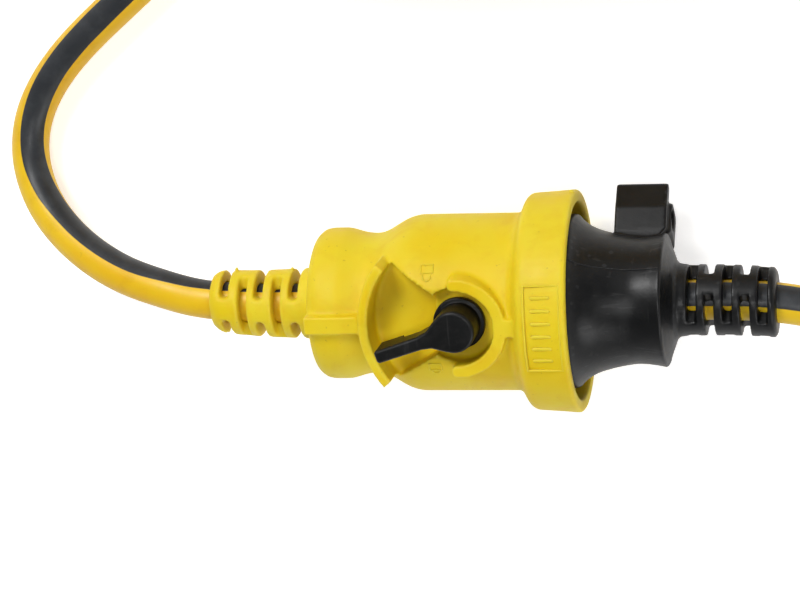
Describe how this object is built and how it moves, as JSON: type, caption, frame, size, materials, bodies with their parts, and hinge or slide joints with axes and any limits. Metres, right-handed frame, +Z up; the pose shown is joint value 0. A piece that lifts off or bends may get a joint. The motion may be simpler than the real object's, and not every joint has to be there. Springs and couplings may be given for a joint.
{
  "type": "shore power cord",
  "caption": "Caravan power lead with its moulded flat-pin plug pushed into its own trailing socket, which has a turning lock lever, a collar and strain reliefs.",
  "frame": {"origin": "centre of the socket's contact face, on the socket's axis", "axes": "+X out of the socket's mouth towards the plug, +Z up along the locking lever's spindle, +Y towards the coil"},
  "size_m": [0.3087, 0.2494, 0.055],
  "materials": {
    "yellow_pvc": "satin moulded flexible PVC",
    "carrier_nylon": "natural nylon",
    "brass": "plain",
    "lever_black": "satin",
    "steel": "plain",
    "shoe_nylon": "natural nylon",
    "black_pvc": "satin moulded flexible PVC",
    "sleeve_black": "satin",
    "core_brown": "plain",
    "core_blue": "plain",
    "core_green": "plain, stands for green and yellow",
    "copper": "stranded copper",
    "lead_sheath": "satin extruded PVC, yellow with one black stripe"
  },
  "bodies": {
    "socket": {"socket_housing": "yellow_pvc", "socket_face": "yellow_pvc", "rear_carrier": "carrier_nylon", "earth_contact": "brass", "active_contact": "brass", "neutral_contact": "brass", "active_core": "core_brown", "active_wire": "copper", "neutral_core": "core_blue", "neutral_wire": "copper", "earth_core": "core_green", "earth_wire": "copper", "flexible_lead": "lead_sheath"},
    "lever": {"lock_lever": "lever_black", "lock_spindle": "steel", "spindle_clip": "steel"},
    "shoe": {"lock_shoe": "shoe_nylon"},
    "plug": {"plug_housing": "black_pvc", "pin_carrier": "black_pvc", "earth_pin": "brass", "active_pin": "brass", "neutral_pin": "brass", "active_sleeve": "sleeve_black", "neutral_sleeve": "sleeve_black", "plug_active_core": "core_brown", "plug_active_wire": "copper", "plug_neutral_core": "core_blue", "plug_neutral_wire": "copper", "plug_earth_core": "core_green", "plug_earth_wire": "copper", "lead_plug_end": "lead_sheath"}
  },
  "joints": [
    {"name": "lever_turn", "type": "hinge", "parent": "socket", "child": "lever", "pos_m": [-0.0213, 0, 0.02], "axis": [0, 0, 1], "range_deg": [-48, 0]},
    {"name": "shoe_slide", "type": "slide", "parent": "socket", "child": "shoe", "axis": [0, 1, 0], "range_m": [0, 0.0006]},
    {"name": "plug_slide", "type": "slide", "parent": "socket", "child": "plug", "axis": [1, 0, 0], "range_m": [0, 0.03]}
  ],
  "couplings": [
    {"joint": "shoe_slide", "follows": "lever_turn", "m_per_rad": -0.00068}
  ]
}
